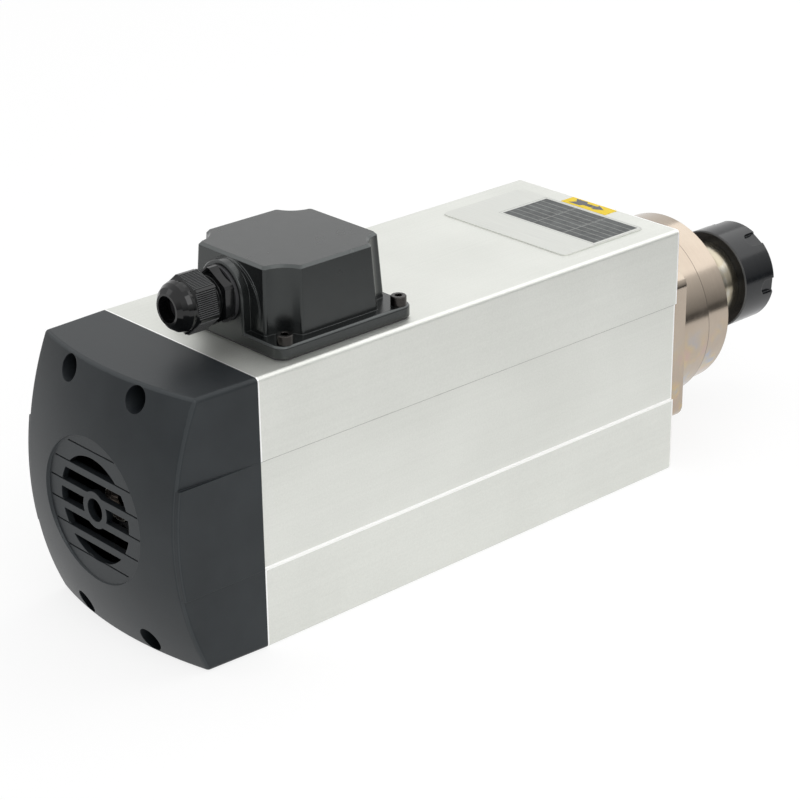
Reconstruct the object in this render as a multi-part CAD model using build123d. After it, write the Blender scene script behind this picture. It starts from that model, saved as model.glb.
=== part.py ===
from build123d import *
import math
import os

# Air-cooled motor spindle with a square body and a collet nose.
# Millimetres. X across, Y along the spindle towards the nose, Z up.
# The origin is the middle of the bottom face of the body.

# Body extrusion
body_length = 246.5
body_side_wall = 7.5
body_top_wall = 16.0
body_edge_radius = 2.0
band_height = 48.0
band_depth = 1.0
bore_diameter = 88.0
air_channel_width = 14.0
air_channel_height = 10.0
air_channel_from_side = 11.5
air_channel_from_top = 19.0
air_channel_corner = 2.0
base_hole_diameter = 8.0
base_hole_depth = 11.0
base_hole_across = 76.0
base_hole_along = 160.0

# Fits, clearances, and how far a cutting shape runs past the face it cuts
fit_gap = 0.02
thread_gap = 0.05
running_gap = 0.3
seat_gap = 0.1
overlap = 1.0

# Socket cap screws, as shares of the diameter of the thread
screw_head_width = 1.7
screw_head_edge = 0.08
screw_socket_width = 0.8
screw_socket_floor = 0.45

# Rear cover
cover_reach = 49.2
cover_wall = 3.0
cover_rim_wall = 1.8
cover_rim_corner = 1.0
cover_side_draft = 1.9
cover_top_draft = 0.5
cover_edge_radius = 2.0
cover_band_set = 0.3
cover_band_radius = 1.0
dome_radius_across = 200.0
dome_radius_up = 145.0
dome_sweep = 40.0
cover_screw_across = 44.4
cover_screw_from_top = 6.7
cover_screw_diameter = 5.0
cover_screw_well = 10.8
cover_post_diameter = 16.0
cover_screw_seat = 4.0
cover_screw_grip = 15.0
grille_depth = 45.2
grille_wall = 3.0
recess_diameter = 63.0
recess_rim_step = 0.9
recess_rim_depth = 2.0
recess_rim_flare = 4.0
grille_opening = 46.0
grille_pitch = 9.75
grille_bar = 3.2
grille_bars = 4
grille_ring_outer = 16.0
grille_ring_inner = 10.0
groove_width = 0.7
groove_depth = 0.6
groove_from_wall = 1.0

# Rear bearing bracket
bracket_plate = 8.0
bracket_spigot = 8.0
bracket_lobe_width = 62.0
bracket_lobe_corner = 5.0
bracket_boss_wall = 6.0
bracket_lip = 3.0
bracket_lip_clearance = 3.5
spring_height = 2.0
spring_section = 3.5

# Rear bearing
rear_bearing_bore = 25.0
rear_bearing_outside = 52.0
rear_bearing_width = 15.0
rear_ball_diameter = 7.9
rear_ball_count = 9

# Front bearings
front_bearing_bore = 35.0
front_bearing_outside = 62.0
front_bearing_width = 14.0
front_ball_diameter = 7.9
front_ball_count = 10
ring_thickness = 4.2
ball_gap = 0.03

# Front flange and cap
flange_thickness = 8.0
flange_height = 73.0
flange_corner = 7.0
flange_spigot = 12.0
nose_wall = 14.0
nose_length = 24.5
bearing_shoulder = 4.0
cap_step = 2.7
cap_length = 17.0
cap_spigot = 3.0
edge_break = 0.5
flange_screw_from_side = 8.0
flange_screw_from_top = 7.5
flange_screw_diameter = 5.0
flange_screw_grip = 18.0
cap_screw_from_edge = 5.3
cap_screw_count = 6
cap_screw_diameter = 5.0
cap_screw_grip = 12.0
counterbore_depth = 5.4

# Spindle shaft
collar_step = 0.3
collar_reach = 33.2
collar_groove = 0.4
collar_groove_pitch = 2.0
collar_grooves = 3
rotor_seat = 34.0
fan_seat = 18.0
shaft_tail = 34.0
centre_hole = 5.0
centre_chamfer = 2.0
thread_wall = 3.5
thread_chamfer = 1.0
socket_run_out = 2.0
locknut_wall = 8.5
locknut_width = 8.0
locknut_slots = 4
locknut_slot = 5.0
locknut_slot_depth = 2.0
long_tool_step = 0.7
long_tool_depth = 22.0

# Collet and its nut
collet_length = 40.0
collet_diameter = 33.0
collet_land = 1.5
collet_taper = 8.0
collet_front_cone = 30.0
collet_cone_length = 3.8
collet_cone_step = 0.9
collet_groove_width = 2.8
collet_groove_depth = 1.0
collet_bore = 12.0
collet_slits = 8
collet_slit_width = 0.8
collet_slit_bridge = 5.0
nut_wall = 5.1
nut_length = 23.3
nut_front_bevel = 1.8
nut_rear_bevel = 0.6
nut_slots = 6
nut_slot_width = 7.6
nut_slot_length = 11.0
nut_slot_depth = 2.4
nut_turn = 33.4
nut_front_set = 0.5
nose_face_set = 0.5

# Rotor and stator
core_from_rear = 78.25
core_from_front = 58.25
air_gap = 0.5
stator_bore = 50.0
stator_slots = 18
slot_width = 4.6
slot_mouth_width = 2.3
tooth_tip = 2.0
core_yoke = 6.0
slot_liner = 0.2
end_turn_length = 18.0
end_turn_set = 1.0
end_turn_rise = 3.0
end_turn_round = 4.0
cage_ring_length = 7.0
cage_ring_clearance = 3.0

# Fan
fan_diameter = 84.0
fan_width = 14.0
fan_plate = 2.5
fan_hub_wall = 7.0
fan_blades = 9
fan_blade_thickness = 2.0
fan_blade_tip_height = 9.0
fan_blade_root = 4.0
fan_blade_set = 1.0
circlip_thickness = 1.2
circlip_stand = 2.0
circlip_opening = 4.0
circlip_groove_depth = 0.6
fan_from_tail = 6.0

# Terminal box
box_centre_x = 9.0
box_from_rear = 52.2
box_base_width = 64.0
box_base_length = 63.8
box_flange_side = 5.0
box_flange_end = 4.0
box_flange_thickness = 5.0
box_flange_corner = 5.0
box_flange_edge = 1.2
gasket_inset = 0.5
gasket_thickness = 1.0
box_height = 34.6
box_draft = 3.25
box_wall = 3.0
box_corner_relief = 10.2
box_corner_round = 1.5
box_top_edge = 1.2
box_top_slope = 40.0
box_screw_from_side = 3.8
box_screw_from_end = 5.5
box_screw_diameter = 4.0
box_screw_grip = 12.0
gland_height = 19.6
boss_width = 27.2
boss_depth = 10.5
boss_edge = 0.6
pad_width = 39.0
pad_height = 13.9
pad_from_boss = 4.1
pad_depth = 2.0

# Cable gland
gland_thread = 18.0
gland_thread_length = 15.0
gland_hex = 22.0
gland_hex_turn = 30.0
gland_hex_corner_cut = 0.4
gland_hex_length = 4.5
gland_seat_depth = 3.0
gland_washer_thickness = 1.5
gland_washer_margin = 1.0
gland_neck = 17.6
gland_neck_length = 14.0
gland_neck_bore = 13.2
gland_passage = 11.0
gland_locknut_thickness = 5.0
dome_nut_hex = 22.0
dome_nut_hex_length = 10.5
dome_nut_corner_cut = 0.3
dome_nut_turn = 41.0
dome_nut_length = 17.4
dome_nut_gap = 3.6
dome_nut_collar = 21.4
dome_nut_steps = ((0.0, 1.5), (0.6, 3.4), (2.0, 5.4))
dome_nut_lip = 0.3
dome_nut_mouth = 12.9
dome_nut_wall = 1.6
seal_length = 9.0
seal_bore = 8.0
seal_stand = 1.0

# Wiring inside the box
lead_diameter = 2.6
lead_spacing = 8.0
lead_hole_length = 26.0
lead_hole_width = 10.0
lead_rise = 6.0
lead_bend = 5.0
grommet_rim = 1.5
grommet_wall = 1.5
grommet_depth = 4.0
leads_from_core = 9.0
block_length = 44.0
block_width = 16.0
block_height = 11.0
block_corner = 1.5
block_slot_width = 1.2
block_slot_depth = 2.0
block_from_leads = 15.5
terminal_diameter = 4.0
terminal_head = 6.0
terminal_head_height = 3.0
terminal_slot_width = 1.0
terminal_slot_depth = 1.0
block_screw_diameter = 3.0
block_screw_from_end = 4.0
block_screw_grip = 8.0
earth_from_block = 12.0

# Plates on the top face
plate_from_side = 12.0
plate_length = 52.0
plate_thickness = 0.5
plate_corner = 3.0
plate_from_label = 1.05
label_width = 28.0
label_length = 8.3
label_thickness = 0.2
label_from_front = 5.3

# Sizes worked out from other sizes
body_width = bore_diameter + 2 * body_side_wall
body_height = bore_diameter + 2 * body_top_wall
air_channel_across = body_width - 2 * air_channel_from_side
air_channel_up = body_height - 2 * air_channel_from_top
cover_screw_up = body_height - 2 * cover_screw_from_top
groove_reach = recess_diameter - 2 * groove_from_wall
bracket_boss = rear_bearing_outside + 2 * bracket_boss_wall
bracket_lip_bore = rear_bearing_bore + 2 * bracket_lip_clearance
nose_diameter = front_bearing_outside + 2 * nose_wall
nose_throat = front_bearing_outside - 2 * bearing_shoulder
cap_diameter = nose_diameter - 2 * cap_step
cap_screw_circle = cap_diameter - 2 * cap_screw_from_edge
flange_screw_across = body_width - 2 * flange_screw_from_side
flange_screw_up = flange_height - 2 * flange_screw_from_top
nose_thread = collet_diameter + 2 * thread_wall
collar_diameter = nose_thread + 2 * collar_step
nut_diameter = nose_thread + 2 * nut_wall
locknut_outside = front_bearing_bore + 2 * locknut_wall
slot_opening_radius = stator_bore / 2 + tooth_tip
slot_bottom_radius = bore_diameter / 2 - core_yoke
end_turn_inner = slot_opening_radius + end_turn_set
end_turn_outer = slot_bottom_radius + end_turn_rise
rotor_diameter = stator_bore - 2 * air_gap
cage_ring_bore = rotor_seat + 2 * cage_ring_clearance
fan_hub = fan_seat + 2 * fan_hub_wall
circlip_outside = fan_seat + 2 * circlip_stand
box_flange_width = box_base_width + 2 * box_flange_side
box_flange_length = box_base_length + 2 * box_flange_end
box_screw_across = box_flange_width - 2 * box_screw_from_side
box_screw_along = box_flange_length - 2 * box_screw_from_end
plate_width = body_width - 2 * plate_from_side

# Places worked out from the sizes
axis_height = body_height / 2
rear_face = -body_length / 2
front_face = body_length / 2
flange_front = front_face + flange_thickness
nose_front = flange_front + nose_length
cap_front = nose_front + cap_length
collar_front = cap_front + collar_reach
nut_front = collar_front + nut_length
collet_front = nut_front - nut_front_set
land_front = collet_front - collet_cone_length - collet_groove_width
land_rear = land_front - collet_land
nose_face = land_rear - nose_face_set
collet_rear = collet_front - collet_length
front_pair_front = nose_front - cap_spigot
front_pair_rear = front_pair_front - 2 * front_bearing_width
bracket_rear = rear_face - bracket_plate
lip_front = bracket_rear - seat_gap
rear_bearing_rear = lip_front + spring_height
rear_bearing_front = rear_bearing_rear + rear_bearing_width
tail_end = rear_face - shaft_tail
core_front = front_face - core_from_front
core_rear = rear_face + core_from_rear
fan_rear = tail_end + fan_from_tail
fan_front = fan_rear + fan_width
box_centre_y = rear_face + box_from_rear
box_seat = body_height + gasket_thickness
box_flange_top = box_seat + box_flange_thickness
box_top = body_height + box_height
boss_face = box_centre_y - box_flange_length / 2
boss_inside = boss_face + boss_depth
gland_axis_height = body_height + gland_height
leads_place = core_rear - leads_from_core
block_place = leads_place - block_from_leads


def turned(*points):
    """A solid of revolution about the spindle axis from (radius, place along Y) points."""
    outline = Polyline(*[(radius, along, axis_height) for radius, along in points], close=True)
    return revolve(make_face(outline), Axis((0, 0, axis_height), (0, 1, 0)))


def ring(inner, outer, start, end):
    """A plain ring about the spindle axis, from start to end along Y."""
    return turned((inner, start), (outer, start), (outer, end), (inner, end))


def section_at(along):
    """The plane across the spindle at a place along Y, with X to the right and Z up."""
    return Plane(origin=(0, along, axis_height), x_dir=(1, 0, 0), z_dir=(0, -1, 0))


def between(section, start, end):
    """A section across the spindle, carried from start to end along Y."""
    return extrude(section_at(end) * section, amount=end - start)


def bar(radius, start, end, x=0.0, height=0.0):
    """A round bar along Y at a place beside and above the spindle axis."""
    return between(Pos(x, height) * Circle(radius), start, end)


def four_places(across, up):
    """The four corners of a rectangle about the centre."""
    return [(side * across / 2, level * up / 2) for side in (-1, 1) for level in (-1, 1)]


def hexagon(across_flats, turn=0.0):
    return Rot(0, 0, turn) * RegularPolygon(across_flats / math.sqrt(3), 6)


def head_radius(diameter):
    return screw_head_width * diameter / 2


def cap_screw(diameter, grip, seat, direction):
    """A socket cap screw whose head sits at seat and whose shank points along direction."""
    head = extrude(Circle(head_radius(diameter)), amount=diameter)
    head = chamfer(head.edges().group_by(Axis.Z)[-1], screw_head_edge * diameter)
    socket_section = hexagon(screw_socket_width * diameter)
    socket = Pos(0, 0, screw_socket_floor * diameter) * extrude(socket_section, amount=diameter)
    shank = extrude(Circle(diameter / 2), amount=-grip)
    away = tuple(-part for part in direction)
    return Plane(origin=seat, z_dir=away) * (head + shank - socket)


def housing():
    section = RectangleRounded(body_width, body_height, body_edge_radius)
    band = Rectangle(band_depth * 2, band_height)
    for side in (-1, 1):
        section -= Pos(side * body_width / 2, 0) * band
    section -= Circle(bore_diameter / 2)
    channel = RectangleRounded(air_channel_width, air_channel_height, air_channel_corner)
    for x, up in four_places(air_channel_across, air_channel_up):
        section -= Pos(x, up) * channel
    for x, up in four_places(cover_screw_across, cover_screw_up):
        section -= Pos(x, up) * Circle(cover_screw_diameter / 2 + fit_gap)
    for x, up in four_places(flange_screw_across, flange_screw_up):
        section -= Pos(x, up) * Circle(flange_screw_diameter / 2 + fit_gap)
    body = between(section, rear_face, front_face)
    base_hole = extrude(Circle(base_hole_diameter / 2), amount=base_hole_depth)
    for x, y in four_places(base_hole_across, base_hole_along):
        body -= Pos(x, y, 0) * base_hole
    lead_hole = SlotOverall(lead_hole_length, lead_hole_width)
    body -= Pos(box_centre_x, leads_place, axis_height) * extrude(lead_hole, amount=body_height)
    for x, y in box_screw_places():
        body -= hole_in_top(x, y, box_screw_diameter, box_screw_grip - box_flange_thickness)
    for x in block_screw_places():
        body -= hole_in_top(x, block_place, block_screw_diameter, block_screw_grip)
    body -= hole_in_top(*earth_place(), terminal_diameter, block_screw_grip)
    return body


def hole_in_top(x, y, diameter, depth):
    hole = extrude(Circle(diameter / 2 + fit_gap), amount=-depth - seat_gap)
    return Pos(x, y, body_height) * hole


def drafted(front_section, back_section):
    """A block from the rear of the body back to the reach of the cover."""
    front = section_at(rear_face) * front_section
    back = section_at(rear_face - cover_reach) * back_section
    return loft([front, back])


def domed(width, height, reach, shrink):
    """A drafted block behind the body whose rear face is crowned both ways."""
    front = RectangleRounded(width, height, body_edge_radius)
    back_size = (width - 2 * cover_side_draft, height - 2 * cover_top_draft)
    return drafted(front, RectangleRounded(*back_size, body_edge_radius)) & dome(reach, shrink)


def dome(reach, shrink):
    """The space in front of the crowned surface, turned about an upright axis."""
    apex = rear_face - reach
    up_radius = dome_radius_up - shrink
    across_radius = dome_radius_across - shrink
    half = body_height / 2 + cover_wall
    sag = up_radius - math.sqrt(up_radius ** 2 - half ** 2)
    low = (0, apex + sag, axis_height - half)
    high = (0, apex + sag, axis_height + half)
    crown = ThreePointArc(low, (0, apex, axis_height), high)
    front_edge = rear_face + bracket_plate
    frame = Polyline(low, (0, front_edge, axis_height - half), (0, front_edge, axis_height + half), high)
    upright = Axis((0, apex + across_radius, 0), (0, 0, 1))
    start = make_face(crown + frame).rotate(upright, -dome_sweep / 2)
    return revolve(start, upright, dome_sweep)


def cover_form():
    """The outer form of the rear cover: a drafted dome with a straight band on each side."""
    main = domed(body_width, body_height, cover_reach, 0)
    rear_edges = main.faces().sort_by(Axis.Y)[0].edges()
    main = fillet(rear_edges, cover_edge_radius)
    band_section = Rectangle(body_width, band_height)
    band = drafted(band_section, band_section) & dome(cover_reach - cover_band_set, 0)
    rear_edges = band.faces().sort_by(Axis.Y)[0].edges()
    rear_sides = rear_edges.filter_by(lambda edge: abs(edge.center().X) > body_width / 4)
    return main + fillet(rear_sides, cover_band_radius)


def grille_cuts():
    """The openings of the grille: a round window less its bars and its middle ring."""
    window = Circle(grille_opening / 2)
    for place in bar_places(grille_bars):
        window -= Pos(0, place) * Rectangle(grille_opening, grille_bar)
    window -= Circle(grille_ring_outer / 2)
    window += Circle(grille_ring_inner / 2)
    return window


def bar_places(count):
    return [(index - (count - 1) / 2) * grille_pitch for index in range(count)]


def groove_lines():
    """Shallow steps that carry the upper edge of each bar across the recess."""
    disc = Circle(groove_reach / 2)
    lines = None
    for place in bar_places(grille_bars + 2):
        line = Pos(0, place + grille_bar / 2 + groove_width / 2) * Rectangle(groove_reach, groove_width)
        lines = line if lines is None else lines + line
    return (lines & disc) - Circle(grille_opening / 2)


def rear_cover():
    outside = cover_form()
    inner_width = body_width - 2 * cover_wall
    inner_height = body_height - 2 * cover_wall
    inside = domed(inner_width, inner_height, cover_reach - cover_wall, cover_wall)
    far = rear_face - cover_reach - cover_wall
    floor = rear_face - grille_depth
    filling = bar(recess_diameter / 2 + cover_wall, far, floor + grille_wall)
    for x, up in four_places(cover_screw_across, cover_screw_up):
        filling += bar(cover_post_diameter / 2, far, bracket_rear, x, up)
    rim_size = (body_width - 2 * cover_rim_wall, body_height - 2 * cover_rim_wall)
    rim_section = RectangleRounded(*rim_size, cover_rim_corner)
    cover = (outside - inside) + (outside & filling) - between(rim_section, bracket_rear, rear_face)
    wall = recess_diameter / 2
    recess = turned((0, far), (0, floor), (wall, floor), (wall + recess_rim_step, floor - recess_rim_depth),
                    (wall + recess_rim_flare, far))
    cover -= recess
    cover -= between(grille_cuts(), far, floor + grille_wall + cover_wall)
    cover -= between(groove_lines(), far, floor + groove_depth)
    for x, up in four_places(cover_screw_across, cover_screw_up):
        cover -= bar(cover_screw_well / 2, far, bracket_rear - cover_screw_seat, x, up)
        cover -= bar(cover_screw_diameter / 2 + running_gap, far, bracket_rear + overlap, x, up)
    return cover


def rear_cover_screws():
    seat = bracket_rear - cover_screw_seat
    grip = rear_face - seat + cover_screw_grip
    return [cap_screw(cover_screw_diameter, grip, (x, seat, axis_height + up), (0, 1, 0))
            for x, up in four_places(cover_screw_across, cover_screw_up)]


def rear_bracket():
    lobe_height = body_height - 2 * (cover_rim_wall + running_gap)
    lobes = RectangleRounded(bracket_lobe_width, lobe_height, bracket_lobe_corner)
    plate = between(lobes + Circle(bore_diameter / 2 + overlap), bracket_rear, rear_face)
    spigot = bar(bore_diameter / 2 - fit_gap, rear_face, rear_face + bracket_spigot)
    boss_rear = lip_front - bracket_lip
    boss = bar(bracket_boss / 2, boss_rear, bracket_rear)
    body = plate + spigot + boss
    body -= bar(bracket_lip_bore / 2, boss_rear, rear_face + bracket_spigot)
    body -= bar(rear_bearing_outside / 2 + fit_gap, lip_front, rear_face + bracket_spigot)
    for x, up in four_places(cover_screw_across, cover_screw_up):
        body -= bar(cover_screw_diameter / 2 + running_gap, bracket_rear, rear_face, x, up)
    return body


def bearing_rings(bore, outside, rear, front, ball_diameter):
    """The inner and the outer ring of a ball bearing, with the ball track cut in both."""
    middle = (rear + front) / 2
    pitch_radius = (bore + outside) / 4
    circle = Pos(pitch_radius, middle, axis_height) * Circle(ball_diameter / 2 + ball_gap)
    track = revolve(circle, Axis((0, 0, axis_height), (0, 1, 0)))
    inner = ring(bore / 2 + fit_gap, bore / 2 + ring_thickness, rear, front)
    outer = ring(outside / 2 - ring_thickness, outside / 2, rear, front)
    return inner - track, outer - track


def bearing_balls(bore, outside, rear, front, ball_diameter, count):
    pitch_radius = (bore + outside) / 4
    middle = (rear + front) / 2
    balls = []
    for index in range(count):
        angle = 2 * math.pi * index / count
        place = (pitch_radius * math.cos(angle), middle, axis_height + pitch_radius * math.sin(angle))
        balls.append(Pos(*place) * Sphere(ball_diameter / 2))
    return balls


def front_bearing_places():
    middle = front_pair_rear + front_bearing_width
    return [(front_pair_rear, middle - seat_gap / 2), (middle + seat_gap / 2, front_pair_front)]


def preload_spring():
    """A wave washer, drawn as the flat ring that it is when pressed."""
    outer = rear_bearing_outside / 2 - running_gap
    return ring(outer - spring_section, outer, lip_front + fit_gap, rear_bearing_rear - fit_gap)


def front_flange():
    plate = RectangleRounded(body_width - 2 * band_depth, flange_height, flange_corner)
    body = between(plate + Circle(nose_diameter / 2), front_face, flange_front)
    nose = bar(nose_diameter / 2, flange_front, nose_front)
    nose = chamfer(nose.edges().group_by(Axis.Y)[-1], edge_break)
    body += nose
    body += bar(bore_diameter / 2 - fit_gap, front_face - flange_spigot, front_face)
    body -= bar(nose_throat / 2, front_face - flange_spigot, nose_front)
    body -= bar(front_bearing_outside / 2 + fit_gap, front_pair_rear, nose_front)
    for x, up in four_places(flange_screw_across, flange_screw_up):
        body -= bar(flange_screw_diameter / 2 + running_gap, front_face, flange_front, x, up)
        seat = flange_front - counterbore_depth
        body -= bar(head_radius(flange_screw_diameter) + running_gap, seat, flange_front, x, up)
    for x, up in cap_screw_places():
        depth = cap_screw_grip + seat_gap
        body -= bar(cap_screw_diameter / 2 + fit_gap, nose_front - depth, nose_front, x, up)
    return body


def cap_screw_places():
    radius = cap_screw_circle / 2
    angles = [2 * math.pi * index / cap_screw_count for index in range(cap_screw_count)]
    return [(radius * math.cos(angle), radius * math.sin(angle)) for angle in angles]


def front_flange_screws():
    seat = flange_front - counterbore_depth
    grip = seat - front_face + flange_screw_grip
    return [cap_screw(flange_screw_diameter, grip, (x, seat, axis_height + up), (0, -1, 0))
            for x, up in four_places(flange_screw_across, flange_screw_up)]


def front_cap():
    bore = collar_diameter / 2 + running_gap
    spigot_outer = front_bearing_outside / 2 - running_gap
    spigot_inner = front_bearing_outside / 2 - ring_thickness
    outer = cap_diameter / 2
    body = turned((bore, nose_front), (spigot_inner, nose_front),
                  (spigot_inner, front_pair_front + fit_gap), (spigot_outer, front_pair_front + fit_gap),
                  (spigot_outer, nose_front), (outer - edge_break, nose_front),
                  (outer, nose_front + edge_break), (outer, cap_front - edge_break),
                  (outer - edge_break, cap_front), (bore, cap_front))
    for x, up in cap_screw_places():
        body -= bar(cap_screw_diameter / 2 + running_gap, nose_front, cap_front, x, up)
        seat = cap_front - counterbore_depth
        body -= bar(head_radius(cap_screw_diameter) + running_gap, seat, cap_front, x, up)
    return body


def front_cap_screws():
    seat = cap_front - counterbore_depth
    grip = seat - nose_front + cap_screw_grip
    return [cap_screw(cap_screw_diameter, grip, (x, seat, axis_height + up), (0, -1, 0))
            for x, up in cap_screw_places()]


def taper_radius(along):
    """The radius of the collet's long taper at a place along Y."""
    return collet_diameter / 2 - (land_rear - along) * math.tan(math.radians(collet_taper))


def spindle_shaft():
    collar = collar_diameter / 2
    front_seat = front_bearing_bore / 2
    rotor = rotor_seat / 2
    journal = rear_bearing_bore / 2
    tail = fan_seat / 2
    locknut_rear = front_pair_rear - locknut_width
    tail_step = lip_front - bracket_lip - seat_gap
    socket_end = collet_rear - socket_run_out
    socket_end_radius = taper_radius(socket_end)
    long_tool = socket_end_radius - long_tool_step
    long_tool_end = socket_end - long_tool_depth
    gap = thread_gap
    shaft = turned((0, tail_end), (tail - edge_break, tail_end), (tail, tail_end + edge_break),
                   (tail, tail_step), (journal, tail_step), (journal, rear_bearing_front),
                   (rotor, rear_bearing_front), (rotor, locknut_rear), (front_seat, locknut_rear),
                   (front_seat, front_pair_front), (collar, front_pair_front), (collar, collar_front),
                   (nose_thread / 2, collar_front), (nose_thread / 2, nose_face - thread_chamfer),
                   (nose_thread / 2 - thread_chamfer, nose_face), (taper_radius(nose_face) + gap, nose_face),
                   (socket_end_radius + gap, socket_end), (long_tool, socket_end),
                   (long_tool, long_tool_end), (0, long_tool_end - long_tool / 2))
    for index in range(collar_grooves):
        start = cap_front + collar_groove_pitch * (index + 1)
        end = start + collar_groove_pitch / 4
        shaft -= turned((collar - collar_groove, start), (collar + overlap, start),
                        (collar + overlap, end), (collar - collar_groove, end))
    shaft -= turned((0, tail_end), (centre_hole / 2 + centre_chamfer, tail_end),
                    (centre_hole / 2, tail_end + centre_chamfer),
                    (centre_hole / 2, tail_end + 2 * centre_hole), (0, tail_end + 3 * centre_hole))
    groove_front = fan_rear - fit_gap
    groove_rear = groove_front - circlip_thickness - fit_gap
    bottom = tail - circlip_groove_depth
    top = tail + overlap
    shaft -= turned((bottom, groove_rear), (top, groove_rear), (top, groove_front), (bottom, groove_front))
    return shaft


def bearing_locknut():
    rear = front_pair_rear - locknut_width
    outer = locknut_outside / 2
    inner = front_bearing_bore / 2 + fit_gap
    nut = ring(inner, outer, rear, front_pair_rear - fit_gap)
    slot = Pos(outer, 0) * Rectangle(2 * locknut_slot_depth, locknut_slot)
    for index in range(locknut_slots):
        nut -= between(Rot(0, 0, 360 / locknut_slots * index) * slot, rear, front_pair_rear)
    return nut


def collet():
    cone_grow = collet_cone_length * math.tan(math.radians(collet_front_cone))
    land = collet_diameter / 2
    cone_back = land - collet_cone_step
    groove_front = collet_front - collet_cone_length
    groove = cone_back - collet_groove_depth
    bore = collet_bore / 2
    body = turned((bore, collet_rear), (taper_radius(collet_rear), collet_rear), (land, land_rear),
                  (land, land_front), (groove, land_front), (groove, groove_front),
                  (cone_back, groove_front), (cone_back - cone_grow, collet_front), (bore, collet_front))
    slit = Pos(collet_diameter / 2, 0) * Rectangle(collet_diameter, collet_slit_width)
    for index in range(collet_slits):
        angle = 360 / collet_slits * index
        from_front = Rot(0, 0, angle) * slit
        from_rear = Rot(0, 0, angle + 180 / collet_slits) * slit
        body -= between(from_front, collet_rear + collet_slit_bridge, collet_front)
        body -= between(from_rear, collet_rear, collet_front - collet_slit_bridge - collet_cone_length)
    return body


def collet_nut():
    outer = nut_diameter / 2
    thread = nose_thread / 2 + thread_gap
    cone_grow = collet_cone_length * math.tan(math.radians(collet_front_cone))
    cone_back = collet_diameter / 2 - collet_cone_step
    groove = cone_back - collet_groove_depth
    groove_front = collet_front - collet_cone_length
    gap = seat_gap / 2
    mouth = cone_back - cone_grow - nut_front_set * math.tan(math.radians(collet_front_cone))
    lip = groove + collet_groove_depth / 2
    body = turned((thread, collar_front + seat_gap), (outer - nut_rear_bevel, collar_front + seat_gap),
                  (outer, collar_front + seat_gap + nut_rear_bevel), (outer, nut_front - nut_front_bevel),
                  (outer - nut_front_bevel, nut_front), (mouth + gap, nut_front),
                  (cone_back + gap, groove_front), (cone_back + gap, groove_front - gap),
                  (lip, groove_front - gap), (lip, land_front + gap),
                  (collet_diameter / 2 + running_gap, land_front + gap),
                  (collet_diameter / 2 + running_gap, land_rear), (thread, land_rear))
    slot = extrude(nut_slot_section(), amount=2 * nut_slot_depth)
    slot = Pos(0, 0, outer - nut_slot_depth) * slot
    for index in range(nut_slots):
        body -= Pos(0, 0, axis_height) * (Rot(0, nut_turn + 360 / nut_slots * index, 0) * slot)
    return body


def nut_slot_section():
    """The outline of a spanner slot, seen from outside: open in front, round at the rear."""
    rear_centre = nut_front - nut_slot_length + nut_slot_width / 2
    length = nut_front + overlap - rear_centre
    straight = Pos(0, length / 2) * Rectangle(nut_slot_width, length)
    return Pos(0, rear_centre) * (Circle(nut_slot_width / 2) + straight)


def slot_section(inner, outer, width):
    return Pos((inner + outer) / 2, 0) * Rectangle(outer - inner, width)


def stator_core():
    section = Circle(bore_diameter / 2 - fit_gap) - Circle(stator_bore / 2)
    slot = slot_section(slot_opening_radius, slot_bottom_radius, slot_width)
    mouth = slot_section(stator_bore / 2 - overlap, slot_opening_radius + overlap, slot_mouth_width)
    for index in range(stator_slots):
        section -= Rot(0, 0, 360 / stator_slots * index) * (slot + mouth)
    return between(section, core_rear, core_front)


def stator_winding():
    inner = slot_opening_radius + slot_liner
    outer = slot_bottom_radius - slot_liner
    winding = end_turn(core_front, 1) + end_turn(core_rear, -1)
    coil = slot_section(inner + slot_liner, outer, slot_width - 2 * slot_liner)
    rear = core_rear - overlap
    front = core_front + overlap
    for index in range(stator_slots):
        winding += between(Rot(0, 0, 360 / stator_slots * index) * coil, rear, front)
    return winding


def end_turn(face, direction):
    """The bundle of wire that stands out of one end of the core."""
    near = face + direction * slot_liner
    far = face + direction * end_turn_length
    round_start = far - direction * end_turn_round
    return turned((end_turn_inner, near), (end_turn_outer, near), (end_turn_outer, round_start),
                  (end_turn_outer - end_turn_round, far), (end_turn_inner + end_turn_round, far),
                  (end_turn_inner, round_start))


def rotor_core():
    return ring(rotor_seat / 2 + fit_gap, rotor_diameter / 2, core_rear, core_front)


def rotor_cage():
    """The two cast end rings of the rotor's cage."""
    rings = []
    for face, direction in ((core_front, 1), (core_rear, -1)):
        near = face + direction * fit_gap
        far = face + direction * cage_ring_length
        outer = rotor_diameter / 2 - edge_break
        rings.append(ring(cage_ring_bore / 2, outer, near, far))
    return rings


def fan():
    bore = fan_seat / 2 + fit_gap
    hub = fan_hub / 2
    tip = fan_diameter / 2
    plate_rear = fan_front - fan_plate
    body = turned((bore, fan_rear + fit_gap), (hub, fan_rear + fit_gap), (hub, plate_rear),
                  (tip, plate_rear), (tip, fan_front), (bore, fan_front))
    inner = hub - overlap
    rear = fan_rear + fan_blade_set
    outline = Polyline((inner, rear), (hub + fan_blade_root, rear), (tip, plate_rear - fan_blade_tip_height),
                       (tip, plate_rear + overlap), (inner, plate_rear + overlap), close=True)
    blade = extrude(make_face(outline), amount=fan_blade_thickness / 2, both=True)
    for index in range(fan_blades):
        body += Pos(0, 0, axis_height) * (Rot(0, 360 / fan_blades * index, 0) * blade)
    return body


def fan_circlip():
    front = fan_rear - 2 * fit_gap
    rear = front - circlip_thickness + fit_gap
    inner = fan_seat / 2 - circlip_groove_depth + fit_gap
    outer = circlip_outside / 2
    opening = between(Pos(0, -outer) * Rectangle(circlip_opening, outer), rear, front)
    return ring(inner, outer, rear, front) - opening


def box_screw_places():
    return [(box_centre_x + x, box_centre_y + y) for x, y in four_places(box_screw_across, box_screw_along)]


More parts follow.
